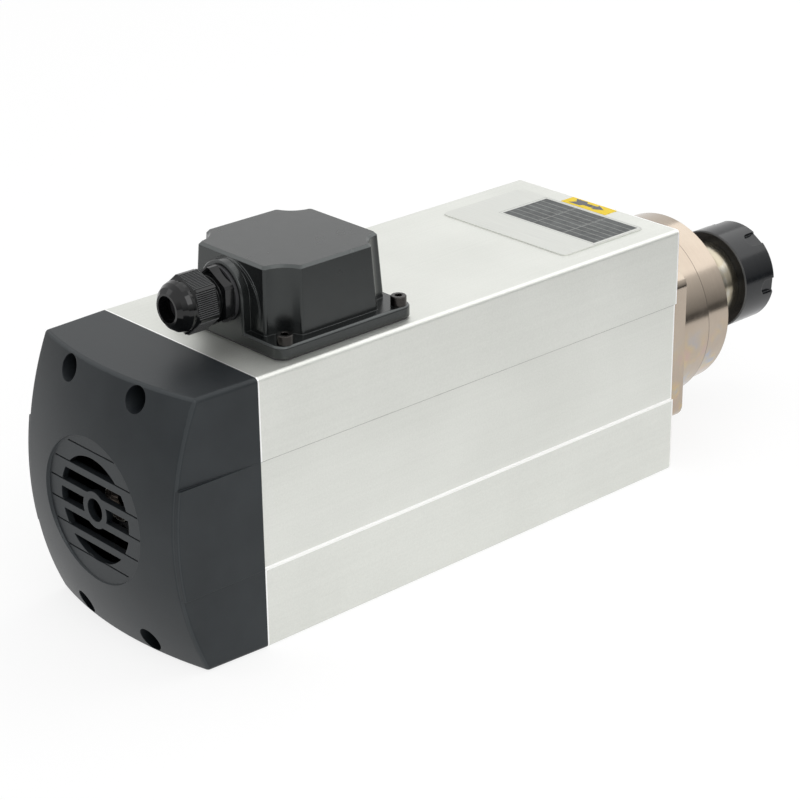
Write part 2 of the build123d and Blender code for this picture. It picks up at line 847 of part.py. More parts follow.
def box_section(inset):
    """The outline of the box: a rectangle whose corners make room for the screws."""
    section = Rectangle(box_base_width - 2 * inset, box_base_length - 2 * inset)
    for x, y in four_places(box_screw_across, box_screw_along):
        section -= Pos(x, y) * Circle(box_corner_relief + inset)
    return fillet(section.vertices(), box_corner_round)


def box_block(low, low_inset, high, high_inset):
    """A block between two outlines of the box, at two heights."""
    return loft([on_box(box_section(low_inset), low), on_box(box_section(high_inset), high)], ruled=True)


def on_box(section, height):
    return Pos(box_centre_x, box_centre_y, height) * section


def arch(width, low, high_centre):
    """An arched outline on the rear wall of the box: a half circle on a straight-sided foot."""
    foot = Pos(0, (low + high_centre) / 2) * Rectangle(width, high_centre - low)
    top = Circle(width / 2) & (Pos(0, width / 4) * Rectangle(width, width / 2))
    return Pos(box_centre_x, 0) * (foot + Pos(0, high_centre) * top)


def gland_bar(radius, start, end):
    return bar(radius, start, end, box_centre_x, gland_axis_height - axis_height)


def terminal_box():
    flange = RectangleRounded(box_flange_width, box_flange_length, box_flange_corner)
    body = extrude(on_box(flange, box_seat), amount=box_flange_thickness)
    body = fillet(body.edges().group_by(Axis.Z)[-1], box_flange_edge)
    slope = math.tan(math.radians(box_draft))
    wall_top = box_top - box_top_edge
    top_inset = (wall_top - box_flange_top) * slope
    top_step = box_top_edge * math.tan(math.radians(box_top_slope))
    body += box_block(box_flange_top, 0, wall_top, top_inset)
    body += box_block(wall_top, top_inset, box_top, top_inset + top_step)
    low = box_seat - axis_height
    pad_face = boss_face + pad_from_boss
    body += between(arch(pad_width, low, pad_height + axis_height), pad_face, pad_face + pad_depth)
    boss = between(arch(boss_width, low, gland_axis_height - axis_height), boss_face, boss_inside)
    boss = chamfer(boss.edges().group_by(Axis.Y)[0], boss_edge)
    body += boss
    ceiling = box_top - box_wall
    hollow = box_block(box_flange_top, box_wall, ceiling, box_wall + (ceiling - box_flange_top) * slope)
    hollow += extrude(on_box(box_section(box_wall), box_seat), amount=box_flange_thickness)
    body -= hollow - boss
    body -= gland_bar(gland_thread / 2 + thread_gap, boss_face, boss_inside)
    for x, y in box_screw_places():
        body -= Pos(x, y, box_seat) * extrude(Circle(box_screw_diameter / 2 + running_gap), amount=box_height)
    return body


def terminal_box_gasket():
    size = (box_flange_width - 2 * gasket_inset, box_flange_length - 2 * gasket_inset)
    section = RectangleRounded(*size, box_flange_corner) - box_section(box_wall)
    for x, y in four_places(box_screw_across, box_screw_along):
        section -= Pos(x, y) * Circle(box_screw_diameter / 2 + running_gap)
    return extrude(on_box(section, body_height), amount=gasket_thickness)


def terminal_box_screws():
    grip = box_screw_grip + gasket_thickness
    return [cap_screw(box_screw_diameter, grip, (x, y, box_flange_top), (0, 0, -1))
            for x, y in box_screw_places()]


def at_gland(section):
    return Pos(box_centre_x, gland_axis_height - axis_height) * section


def gland_body():
    hex_front = boss_face - gland_washer_thickness
    hex_rear = hex_front - gland_hex_length
    neck_end = hex_rear - gland_neck_length
    body = between(at_gland(hexagon(gland_hex, gland_hex_turn)), hex_rear, hex_front)
    body &= gland_bar(gland_hex / math.sqrt(3) - gland_hex_corner_cut, hex_rear, hex_front)
    body += gland_bar(gland_thread / 2, hex_front, hex_front + gland_thread_length)
    body += gland_bar(gland_neck / 2, neck_end, hex_rear)
    body -= gland_bar(gland_passage / 2, neck_end, hex_front + gland_thread_length)
    body -= gland_bar(gland_neck_bore / 2, neck_end, hex_rear - gland_seat_depth)
    return body


def gland_washer():
    outer = gland_bar(gland_hex / 2 + gland_washer_margin, boss_face - gland_washer_thickness, boss_face)
    return outer - gland_bar(gland_thread / 2 + fit_gap, boss_face - gland_washer_thickness, boss_face)


def gland_locknut():
    end = boss_inside + gland_locknut_thickness
    nut = between(at_gland(hexagon(gland_hex)), boss_inside, end)
    return nut - gland_bar(gland_thread / 2 + fit_gap, boss_inside, end)


def dome_nut_front():
    return boss_face - gland_washer_thickness - gland_hex_length - dome_nut_gap


def gland_turned(*points):
    places = [(box_centre_x + radius, along, gland_axis_height) for radius, along in points]
    outline = make_face(Polyline(*places, close=True))
    return revolve(outline, Axis((box_centre_x, 0, gland_axis_height), (0, 1, 0)))


def gland_dome_nut():
    front = dome_nut_front()
    hex_rear = front - dome_nut_hex_length
    rear = front - dome_nut_length
    collar = dome_nut_collar / 2
    mouth = dome_nut_mouth / 2
    steps = [(collar - inward, hex_rear - back) for inward, back in dome_nut_steps]
    nose = gland_turned((0, hex_rear + overlap), (collar, hex_rear + overlap), *steps,
                        (mouth + dome_nut_lip, rear), (0, rear))
    corner = dome_nut_hex / math.sqrt(3) - dome_nut_corner_cut
    grip = between(at_gland(hexagon(dome_nut_hex, dome_nut_turn)), hex_rear, front)
    grip &= gland_turned((0, front), (corner, front), (corner, hex_rear + overlap),
                         (collar, hex_rear), (0, hex_rear))
    hollow = gland_neck / 2 + running_gap
    throat = gland_neck_bore / 2 + running_gap
    inside_end = seal_rear() - running_gap
    inside = gland_turned((0, front), (hollow, front), (hollow, neck_end() - running_gap),
                          (throat, inside_end), (0, inside_end))
    return nose + grip - inside - gland_bar(mouth - dome_nut_wall / 2, rear - overlap, front)


def neck_end():
    return boss_face - gland_washer_thickness - gland_hex_length - gland_neck_length


def seal_rear():
    return neck_end() - seal_stand


def gland_seal():
    outer = gland_neck_bore / 2 - running_gap
    start = seal_rear()
    whole = gland_bar(outer, start, start + seal_length)
    return whole - gland_bar(seal_bore / 2, start, start + seal_length)


def block_screw_places():
    reach = block_length / 2 - block_screw_from_end
    return [box_centre_x - reach, box_centre_x + reach]


def earth_place():
    return (box_centre_x + block_length / 2 - terminal_head / 2, block_place - earth_from_block)


def lead_places():
    return [box_centre_x + step * lead_spacing for step in (-1, 0, 1)]


def terminal_block():
    block = extrude(Pos(box_centre_x, block_place, body_height) * Rectangle(block_length, block_width),
                    amount=block_height)
    block = fillet(block.edges().filter_by(Axis.Z), block_corner)
    screw_hole = extrude(Circle(block_screw_diameter / 2 + running_gap), amount=block_height)
    screw_well = extrude(Circle(block_screw_diameter), amount=block_height)
    for x in block_screw_places():
        block -= Pos(x, block_place, body_height) * screw_hole
        block -= Pos(x, block_place, body_height + block_height / 2) * screw_well
    clamp_hole = extrude(Circle(terminal_diameter / 2 + fit_gap), amount=block_height)
    for x in lead_places():
        block -= Pos(x, block_place, body_height + lead_rise) * clamp_hole
    slot = Box(block_slot_width, block_width, 2 * block_slot_depth)
    for side in (-1, 1):
        x = box_centre_x + side * lead_spacing / 2
        block -= Pos(x, block_place, body_height + block_height) * slot
    return block


def terminal_screws():
    """Three clamp screws in the block, and the two that hold the block down."""
    top = body_height + block_height
    head = extrude(Circle(terminal_head / 2), amount=terminal_head_height)
    slot = Box(terminal_head, terminal_slot_width, 2 * terminal_slot_depth)
    shank = extrude(Circle(terminal_diameter / 2), amount=-(block_height - lead_rise - seat_gap))
    clamp = head - Pos(0, 0, terminal_head_height) * slot + shank
    screws = [Pos(x, block_place, top) * clamp for x in lead_places()]
    seat = body_height + block_height / 2
    grip = block_height / 2 + block_screw_grip
    for x in block_screw_places():
        screws.append(cap_screw(block_screw_diameter, grip, (x, block_place, seat), (0, 0, -1)))
    return screws


def earth_screw():
    x, y = earth_place()
    return cap_screw(terminal_diameter, block_screw_grip, (x, y, body_height), (0, 0, -1))


def motor_leads():
    """Three leads that rise from the winding and turn into the terminal block."""
    leads = []
    block_face = block_place + block_width / 2
    level = body_height + lead_rise - lead_diameter
    for x in lead_places():
        foot = axis_height + math.sqrt(end_turn_outer ** 2 - (abs(x) - lead_diameter / 2) ** 2) + seat_gap
        path = FilletPolyline((x, leads_place, foot), (x, leads_place, level),
                              (x, block_face, level), radius=lead_bend)
        section = Plane(origin=(x, leads_place, foot), z_dir=(0, 0, 1)) * Circle(lead_diameter / 2)
        leads.append(sweep(section, path))
    return leads


def lead_grommet():
    hole = SlotOverall(lead_hole_length - 2 * fit_gap, lead_hole_width - 2 * fit_gap)
    inner = SlotOverall(lead_hole_length - 2 * grommet_wall, lead_hole_width - 2 * grommet_wall)
    rim = SlotOverall(lead_hole_length + 2 * grommet_rim, lead_hole_width + 2 * grommet_rim)
    foot = Pos(box_centre_x, leads_place, body_height - grommet_depth)
    sleeve = foot * extrude(hole, amount=grommet_depth)
    top = Pos(box_centre_x, leads_place, body_height) * extrude(rim, amount=grommet_rim)
    opening = foot * extrude(inner, amount=grommet_depth + grommet_rim)
    return sleeve + top - opening


def nameplate():
    label_rear = front_face - label_from_front - label_length / 2
    middle = label_rear - plate_from_label - plate_length / 2
    plate = RectangleRounded(plate_width, plate_length, plate_corner)
    return Pos(0, middle, body_height) * extrude(plate, amount=plate_thickness)


def arrow_label():
    middle = front_face - label_from_front
    return Pos(0, middle, body_height) * extrude(Rectangle(label_width, label_length), amount=label_thickness)


def front_bearings():
    inner_rings = []
    outer_rings = []
    balls = []
    for rear, front in front_bearing_places():
        size = (front_bearing_bore, front_bearing_outside, rear, front, front_ball_diameter)
        inner, outer = bearing_rings(*size)
        inner_rings.append(inner)
        outer_rings.append(outer)
        balls += bearing_balls(*size, front_ball_count)
    return inner_rings, outer_rings, balls


def all_nodes():
    front_inner, front_outer, front_balls = front_bearings()
    rear_size = (rear_bearing_bore, rear_bearing_outside, rear_bearing_rear, rear_bearing_front,
                 rear_ball_diameter)
    rear_inner, rear_outer = bearing_rings(*rear_size)
    return {
        "housing": housing(),
        "rear_cover": rear_cover(),
        "rear_cover_screws": rear_cover_screws(),
        "rear_bracket": rear_bracket(),
        "rear_bearing_outer_ring": rear_outer,
        "rear_bearing_inner_ring": rear_inner,
        "rear_bearing_balls": bearing_balls(*rear_size, rear_ball_count),
        "preload_spring": preload_spring(),
        "stator_core": stator_core(),
        "stator_winding": stator_winding(),
        "rotor_core": rotor_core(),
        "rotor_cage": rotor_cage(),
        "spindle_shaft": spindle_shaft(),
        "fan": fan(),
        "fan_circlip": fan_circlip(),
        "front_flange": front_flange(),
        "front_flange_screws": front_flange_screws(),
        "front_cap": front_cap(),
        "front_cap_screws": front_cap_screws(),
        "front_bearing_outer_rings": front_outer,
        "front_bearing_inner_rings": front_inner,
        "front_bearing_balls": front_balls,
        "bearing_locknut": bearing_locknut(),
        "collet": collet(),
        "collet_nut": collet_nut(),
        "terminal_box": terminal_box(),
        "terminal_box_gasket": terminal_box_gasket(),
        "terminal_box_screws": terminal_box_screws(),
        "terminal_block": terminal_block(),
        "terminal_screws": terminal_screws(),
        "earth_screw": earth_screw(),
        "motor_leads": motor_leads(),
        "lead_grommet": lead_grommet(),
        "gland_body": gland_body(),
        "gland_washer": gland_washer(),
        "gland_locknut": gland_locknut(),
        "gland_seal": gland_seal(),
        "gland_dome_nut": gland_dome_nut(),
        "nameplate": nameplate(),
        "arrow_label": arrow_label(),
    }


os.makedirs("parts", exist_ok=True)
for name, shape in all_nodes().items():
    whole = Compound(children=shape) if isinstance(shape, list) else shape
    export_step(whole, f"parts/{name}.step")
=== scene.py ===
# %% [markdown]
# A motor spindle with a square body, dressed for its picture.
# The solids come from the CAD model, each at its real size and place, in metres. Modelled
# again by hand, they would give every size a second source. So this lesson only gives each
# one the finish of the real piece and adds what is too fine for the solids: the print of an
# arrow, the ribs of a nut and a short thread. Nothing from the CAD model is moved.

# %% Load the solids
import bpy
import math
from mathutils import Matrix, Vector


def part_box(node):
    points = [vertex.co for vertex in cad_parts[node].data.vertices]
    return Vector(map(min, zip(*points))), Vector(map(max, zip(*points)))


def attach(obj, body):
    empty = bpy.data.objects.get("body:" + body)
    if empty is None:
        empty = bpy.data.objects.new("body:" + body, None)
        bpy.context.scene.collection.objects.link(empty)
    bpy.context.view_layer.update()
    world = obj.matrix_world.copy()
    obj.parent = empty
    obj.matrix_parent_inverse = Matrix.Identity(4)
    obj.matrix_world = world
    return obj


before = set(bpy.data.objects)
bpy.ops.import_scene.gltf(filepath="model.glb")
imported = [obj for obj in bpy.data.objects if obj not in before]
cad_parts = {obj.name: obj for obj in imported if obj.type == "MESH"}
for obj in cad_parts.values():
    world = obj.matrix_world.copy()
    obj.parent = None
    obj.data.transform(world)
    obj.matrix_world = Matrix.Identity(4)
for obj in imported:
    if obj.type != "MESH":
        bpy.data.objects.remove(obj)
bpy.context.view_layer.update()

mm = 0.001


def in_mm(lengths):
    """Lengths in metres as rounded millimetres, for the notes that the cells print."""
    return [round(length / mm, 2) for length in lengths]


# %% [markdown]
# The camera stands behind the spindle, to its right and above it, and looks along a long
# lens, so that the body's edges run almost parallel. A camera could be turned by three
# angles, but a direction back to it is easier to reason about: azimuth goes round the
# object, elevation lifts it, and a small roll levels the picture.

# %% Camera
picture_side = 800
focal_length_in_pixels = 2310.3
camera_place = Vector((701.3, -634.8, 473.6)) * mm
camera_azimuth = math.radians(47.96)
camera_elevation = math.radians(23.77)
camera_roll = math.radians(-0.75)

level = math.cos(camera_elevation)
back = Vector((math.sin(camera_azimuth) * level, -math.cos(camera_azimuth) * level,
               math.sin(camera_elevation)))
right = (-back).cross(Vector((0, 0, 1))).normalized()
above = right.cross(-back)
rolled_right = right * math.cos(camera_roll) + above * math.sin(camera_roll)
rolled_above = above * math.cos(camera_roll) - right * math.sin(camera_roll)
stand = Matrix((rolled_right, rolled_above, back)).transposed().to_4x4()
stand.translation = camera_place

camera = bpy.data.objects.new("camera", bpy.data.cameras.new("camera"))
bpy.context.scene.collection.objects.link(camera)
camera.matrix_world = stand
camera.data.sensor_width = 36
camera.data.lens = focal_length_in_pixels / picture_side * camera.data.sensor_width
camera.data.clip_start = 0.05
camera.data.clip_end = 30
bpy.context.scene.camera = camera
print("lens in mm", round(camera.data.lens, 2))

# %% [markdown]
# A finish varies over a surface by sums of masks and noise. Built node by node, each step
# of a sum takes several lines and its meaning is lost among them. `Value` wraps a node's
# output and overloads the operators, so that `1 - mask * 0.5` adds its Math nodes by itself.

# %% Values that take part in sums
class Value:
    """A node's output that takes part in Python sums."""

    def __init__(self, nodes, socket):
        self.nodes = nodes
        self.socket = socket

    def __add__(self, other):
        return self.nodes.maths("ADD", self, other)

    def __sub__(self, other):
        return self.nodes.maths("SUBTRACT", self, other)

    def __rsub__(self, other):
        return self.nodes.maths("SUBTRACT", other, self)

    def __mul__(self, other):
        return self.nodes.maths("MULTIPLY", self, other)

    def __lt__(self, other):
        return self.nodes.maths("LESS_THAN", self, other)

    def __gt__(self, other):
        return self.nodes.maths("GREATER_THAN", self, other)

    def __abs__(self):
        return self.nodes.maths("ABSOLUTE", self)

    __radd__ = __add__
    __rmul__ = __mul__


def inside(value, low, high):
    """1 where a value lies between two limits."""
    return (value > low) * (value < high)


# %% [markdown]
# Every tree below is filled by the same step: a node is added, set, and linked to what it
# needs. A line for each of these would be long-winded, so `Nodes` does them in one method,
# whatever the node. The short methods after it are the steps that come back most.

# %% A tree of nodes
def fill_ramp(ramp, stops):
    """Gives a ramp its stops, written as places with colours, from 0 to 1 and in order."""
    for place in list(stops)[1:-1]:
        ramp.elements.new(place)
    for element, colour in zip(ramp.elements, stops.values()):
        element.color = (*colour, 1)


class Nodes:
    """A tree of nodes that ends in one node, which the others feed."""

    def __init__(self, tree, last):
        self.tree = tree
        self.last = tree.nodes[last]

    def node(self, kind, settings=None, inputs=None, output=0):
        made = self.tree.nodes.new("ShaderNode" + kind)
        for name, value in (settings or {}).items():
            if name == "stops":
                fill_ramp(made.color_ramp, value)
            else:
                setattr(made, name, value)
        for name, value in (inputs or {}).items():
            if isinstance(value, Value):
                self.tree.links.new(value.socket, made.inputs[name])
            else:
                made.inputs[name].default_value = value
        return Value(self, made.outputs[output])

    def feed(self, socket, value):
        self.tree.links.new(value.socket, self.last.inputs[socket])

    def maths(self, operation, *values):
        return self.node("Math", {"operation": operation}, dict(enumerate(values)))

    def most(self, first, second):
        return self.maths("MAXIMUM", first, second)

    def range(self, value, low, high, to_low=0.0, to_high=1.0):
        """A value carried from one range to another, held at the ends."""
        return self.node("MapRange", {"clamp": True},
                         {0: value, 1: low, 2: high, 3: to_low, 4: to_high})

    def mix(self, share, first, second):
        """A colour between two colours, each of them a value or three numbers."""
        inputs = {0: share}
        for socket, colour in ((6, first), (7, second)):
            inputs[socket] = colour if isinstance(colour, Value) else (*colour, 1.0)
        return self.node("Mix", {"data_type": "RGBA"}, inputs, output=2)


# %% [markdown]
# A finish is the main shader with patterns over its colour, its roughness and its relief.
# Painted pictures could carry them, but patterns worked out in the solid's own coordinates
# have no seams and stay sharp at any distance. The patterns that most finishes share are
# noise, scattered points, a mask on sharp edges and one on faces that lean.

# %% A finish and its patterns
class Finish(Nodes):
    """A material, its main shader and the patterns that vary it."""

    def __init__(self, name, colour, roughness, metallic=0.0, **others):
        self.material = bpy.data.materials.new(name)
        self.material.use_nodes = True
        self.material.diffuse_color = (*colour, 1.0)
        super().__init__(self.material.node_tree, "Principled BSDF")
        self.colour = colour
        fixed = {"Base Color": (*colour, 1.0), "Roughness": roughness, "Metallic": metallic}
        for socket, value in others.items():
            fixed[socket.replace("_", " ")] = value
        for socket, value in fixed.items():
            self.last.inputs[socket].default_value = value

    def place(self, centre=(0, 0, 0), stretch=(1, 1, 1), turn=0.0):
        """Object coordinates in millimetres from a centre, stretched along axes, turned about Z."""
        scale = [1 / (mm * share) for share in stretch]
        shift = Vector([-start * mm * share for start, share in zip(centre, scale)])
        return self.node("Mapping", {"vector_type": "POINT"},
                         {"Vector": self.node("TexCoord", output="Object"),
                          "Location": Matrix.Rotation(turn, 3, "Z") @ shift,
                          "Rotation": (0, 0, turn), "Scale": scale})

    def axes(self, centre=(0, 0, 0)):
        """The three object coordinates, in millimetres from a centre."""
        vector = self.place(centre)
        return [self.node("SeparateXYZ", None, {0: vector}, output=axis) for axis in range(3)]

    def noise(self, size, place=None, detail=2.0, rough=0.5):
        """Cloudy noise whose blotches are about this many millimetres across."""
        vector = place or self.place()
        return self.node("TexNoise", {"noise_dimensions": "3D"},
                         {"Vector": vector, "Scale": 1 / size, "Detail": detail, "Roughness": rough})

    def cells(self, size, place=None):
        """The distance from the nearest of scattered points, 0 at a point."""
        vector = place or self.place()
        return self.node("TexVoronoi", None, {"Vector": vector, "Scale": 1 / size})

    def edge(self, radius):
        """0 on flat ground, rising to 1 on sharp edges, with a soft border this wide."""
        bent = self.node("Bevel", {"samples": 4}, {"Radius": radius * mm})
        flat = self.node("NewGeometry", output="Normal")
        same = self.node("VectorMath", {"operation": "DOT_PRODUCT"}, {0: bent, 1: flat}, output=1)
        return self.range(1 - same, 0.01, 0.25)

    def leaning(self, axis, least, greatest):
        """1 on faces between those that face along an axis and those that face across it."""
        normal = self.node("TexCoord", output="Normal")
        facing = abs(self.node("SeparateXYZ", None, {0: normal}, output=axis))
        return inside(facing, least, greatest)

    def bump(self, height, depth, radius=0.0):
        """Feeds a bump this many millimetres deep, over edges rounded by a radius."""
        inputs = {"Height": height, "Distance": depth * mm, "Strength": 1.0}
        if radius:
            inputs["Normal"] = self.node("Bevel", {"samples": 4}, {"Radius": radius * mm})
        self.feed("Normal", self.node("Bump", None, inputs))

    def tint(self, share, colour):
        """Carries the colour so far towards another one by a share, and feeds it."""
        self.colour = self.mix(share, self.colour, colour)
        self.feed("Base Color", self.colour)


def dress(finish, *nodes):
    """Puts a finish on solids from the CAD model, which keep their meshes."""
    for node in nodes:
        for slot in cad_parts[node].material_slots:
            slot.material = finish.material


# %% [markdown]
# The picture has a plain white ground. A world of full white would also light the spindle
# from all sides and wash it out. So the world is white for the camera, for mirrors and for
# glass only: the light that falls on the spindle stays at a plain level, at which colours
# come out about as they are written.

# %% White world
white_level = 1.0
light_level = 0.55


def seen_directly(nodes):
    """1 on rays from the camera, a mirror or a glass, and 0 on rays that carry light."""
    seen = nodes.node("LightPath", output="Is Camera Ray")
    for other in ("Is Glossy Ray", "Is Transmission Ray"):
        seen = nodes.most(seen, nodes.node("LightPath", output=other))
    return seen


world = bpy.data.worlds.new("studio")
bpy.context.scene.world = world
world.use_nodes = True
sky = Nodes(world.node_tree, "Background")
sky.last.inputs["Color"].default_value = (1, 1, 1, 1)
sky.feed("Strength", sky.range(seen_directly(sky), 0, 1, light_level, white_level))
bpy.context.scene.view_settings.view_transform = "Standard"
print("world shows", white_level, "and lights at", light_level)

# %% [markdown]
# The spindle stands on a white table without an end. Painted white, a floor still comes
# out grey where the lamps reach it less, and one that only glows holds no shadow. This one
# is partly lit and partly its own white, which keeps a soft shadow under the body.

# %% Floor
floor_reach = 6.0
floor_gap = 0.02
floor_paint = (0.9, 0.9, 0.9, 1)
floor_glow = 1.1
floor_own_light = 0.72


def deselect_all():
    bpy.ops.object.select_all(action="DESELECT")


def open_material(name):
    """A new material without the main shader, and its nodes, which end in its output."""
    made = bpy.data.materials.new(name)
    made.use_nodes = True
    made.node_tree.nodes.remove(made.node_tree.nodes["Principled BSDF"])
    return made, Nodes(made.node_tree, "Material Output")


deselect_all()
bpy.ops.mesh.primitive_plane_add(size=2 * floor_reach, location=(0, 0, -floor_gap * mm))
floor = bpy.context.object
floor.name = "floor"
floor_white, ground = open_material("floor_white")
lit = ground.node("BsdfDiffuse", None, {"Color": floor_paint})
own = ground.node("Emission", None, {"Strength": floor_glow})
own_share = seen_directly(ground) * floor_own_light
ground.feed("Surface", ground.node("MixShader", None, {0: own_share, 1: lit, 2: own}))
floor.data.materials.append(floor_white)
print("floor reaches", floor_reach, "m")

# %% [markdown]
# Bright metal and gloss black show what stands round them. In a studio that is a white
# table, which ends half a metre to the right of the object, and a dim room beyond its edge
# that grows lighter towards the lamps. A wrapped picture could show it, but a light that
# follows the height says the same in a few numbers: a ramp starts at the dark foot of the
# room, rises at once to the dim part and then slowly to white.

# %% Light of the dim room
room_height = 0.95
foot_light = 0.10
dim_light = 0.30
dim_share = 0.05


def grey(strength):
    return (strength, strength, strength)


dim_room, room = open_material("dim_room")
height = room.node("SeparateXYZ", None, {0: room.node("NewGeometry", output="Position")}, output=2)
room_stops = {0.0: grey(foot_light), dim_share: grey(dim_light), 1.0: grey(1.0)}
strength = room.node("ValToRGB", {"stops": room_stops}, {0: room.range(height, 0, room_height)})
room.feed("Surface", room.node("Emission", None, {"Strength": strength}))
print("dim room", room_height, "m high")

# %% [markdown]
# Real walls would keep the lamps' light off the spindle. The room is made of cards
# instead: one lies where the table ends, and three stand to the right, to the left and
# behind the camera. Only mirrors see them, so they throw no shadow and stay out of the
# picture.

# %% Cards that only mirrors see
table_reach = 0.56
card_reach = 1.7
card_width = 3.4
card_lift = 1.0
right_azimuth = 50
left_azimuth = 225
camera_side_azimuth = 315


def card(name, azimuth, reach, lift, size, lean):
    """A card at a distance from the spindle in a direction, flat or upright by its lean."""
    turn = math.radians(azimuth)
    bpy.ops.mesh.primitive_plane_add(size=1)
    made = bpy.context.object
    made.name = name
    made.scale = (*size, 1)
    made.rotation_euler = (lean, 0, turn - math.pi / 2)
    made.location = Vector((math.cos(turn) * reach, math.sin(turn) * reach, lift))
    made.data.materials.append(dim_room)
    for rays in ("camera", "diffuse", "transmission", "volume_scatter", "shadow"):
        setattr(made, "visible_" + rays, False)
    return made


cards = [card("lying_card", right_azimuth, (table_reach + card_reach) / 2, card_lift * mm,
              (card_width, card_reach - table_reach), 0)]
for azimuth in (right_azimuth, left_azimuth, camera_side_azimuth):
    cards.append(card("standing_card", azimuth, card_reach, room_height / 2,
                      (card_width, room_height), math.pi / 2))
print("cards", len(cards))

# %% [markdown]
# Large soft lamps give long, soft reflections, which is what shows the shape of metal and
# satin plastic. Small ones would draw hard bright spots. Each lamp is aimed at the middle
# of the spindle from a place that is written as a distance along each axis.

# %% Lamps
lamp_aim = Vector((0, 0.03, 0.06))


def lamp(name, place, size, power):
    light = bpy.data.lights.new(name, "AREA")
    light.shape = "RECTANGLE"
    light.size, light.size_y = size
    light.energy = power
    made = bpy.data.objects.new(name, light)
    bpy.context.scene.collection.objects.link(made)
    made.location = place
    made.rotation_euler = (lamp_aim - made.location).to_track_quat("-Z", "Y").to_euler()


lamp("key", (1.6, -0.5, 1.4), (1.4, 1.4), 12.5)
lamp("top", (-0.3, 0.2, 2.0), (1.6, 1.6), 3.5)
lamp("back", (-1.6, -1.6, 1.0), (1.0, 1.4), 3.5)
lamp("edge", (0.20, 1.49, 1.38), (2.2, 1.2), 7.5)
print("lamps", [light.name for light in bpy.data.lights])

# %% [markdown]
# The body is an aluminium extrusion, blasted and anodised. Close up it has a fine even
# grain, and it keeps very faint lines along its length from the die. A picture could hold
# both, but they are just noise, one even and one stretched along the body. The sawn ends
# stay bare, so their thin edge is bright. A painted highlight brightens the ledge at the foot
# of the sunken band in each side, and a fine dark line of painted shadow runs along the
# corner at its top.

# %% Blasted aluminium
body_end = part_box("housing")[1].y / mm
body_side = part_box("housing")[1].x / mm
bare_edge = 0.7
band_foot, band_top = 36.0, 84.0
ledge_half_width = 0.6
ledge_reach = 1.3
corner_line_width = 0.75
corner_reach = 0.8
nick_spacing, nick_size = 22, 0.012
scratch_spacing, scratch_size = 16, 0.006


def blasted_aluminium():
    finish = Finish("blasted_aluminium", (0.74, 0.75, 0.71), 0.46, 0.88)
    x, y, z = finish.axes()
    grain = finish.noise(0.8, detail=4, rough=0.65)
    lines = finish.noise(1.6, finish.place(stretch=(1, 120, 1)))
    cloud = finish.noise(60, detail=3)
    tone = finish.range(grain * 0.45 + lines * 0.13 + cloud * 0.42, 0.35, 0.65)
    finish.colour = finish.mix(tone, (0.69, 0.70, 0.66), (0.79, 0.80, 0.76))
    nick = (finish.cells(nick_spacing) < nick_size) * (finish.noise(70) > 0.5)
    # Painted shadow: a fine dark line in the corner under the top of the sunken band. The nicks are real.
    corner = inside(z, band_top - corner_line_width, band_top) * (abs(x) < body_side - corner_reach)
    finish.tint(finish.most(nick * 0.7, corner * 0.85), (0.20, 0.20, 0.20))
    slanted = finish.place(stretch=(1, 14, 1), turn=0.3)
    finish.tint((finish.cells(scratch_spacing, slanted) < scratch_size) * 0.6, (0.45, 0.45, 0.44))
    bare = abs(y) > body_end - bare_edge
    # Painted highlight: a bright line on the ledge at the foot of the sunken band, tinted together with
    # the bare sawn ends.
    ledge_highlight = (abs(z - band_foot) < ledge_half_width) * (abs(x) > body_side - ledge_reach)
    finish.tint(finish.most(bare, ledge_highlight), (0.97, 0.97, 0.96))
    finish.feed("Roughness", finish.range(grain + cloud * 0.4 - bare * 0.5, 0.4, 1.0, 0.42, 0.52))
    finish.bump(grain, 0.03, 0.3)
    return finish


dress(blasted_aluminium(), "housing")
print("aluminium body ends at", round(body_end, 2), "mm")

# %% [markdown]
# The plastics are all moulded. The rear cover's mould was spark eroded, which leaves a fine
# even texture and a satin sheen, the terminal box is smoother, and the cable gland shines.
# Each could have a material of its own making, but one function with a few numbers keeps
# them alike. Almost all that one sees of a black plastic is what it reflects, so its colour
# is very dark and its roughness tells it apart. The edges are paler, partly from wear and
# partly as a painted highlight, and dust settles.

# %% Moulded plastics
cloud_size = 24
speck_spacing, speck_size = 3.4, 0.045


def moulded(name, colour, wear_and_highlight, roughness, grain_size, grain_depth, edge_width, dusty=0.5, cloudy=0.25,
            **others):
    """A moulded plastic with a fine texture, a little dust and edges paled by wear and a painted
    highlight.
    """
    finish = Finish(name, colour, roughness, **others)
    grain = finish.noise(grain_size)
    cloud = finish.noise(cloud_size, detail=3)
    edge = finish.edge(edge_width)
    dust = finish.range(finish.cells(speck_spacing), 0, speck_size, 1, 0) * finish.range(cloud, 0.5, 0.65)
    # The paler edges are partly wear and partly a painted highlight.
    finish.tint(finish.range(cloud, 0.3, 0.7) * cloudy + edge * 0.45 + dust * dusty, wear_and_highlight)
    uneven = cloud * 0.5 + grain * 0.5 - edge * 0.3
    finish.feed("Roughness", finish.range(uneven, 0.2, 0.8, roughness - 0.05, roughness + 0.05))
    finish.bump(grain, grain_depth, edge_width)
    return finish


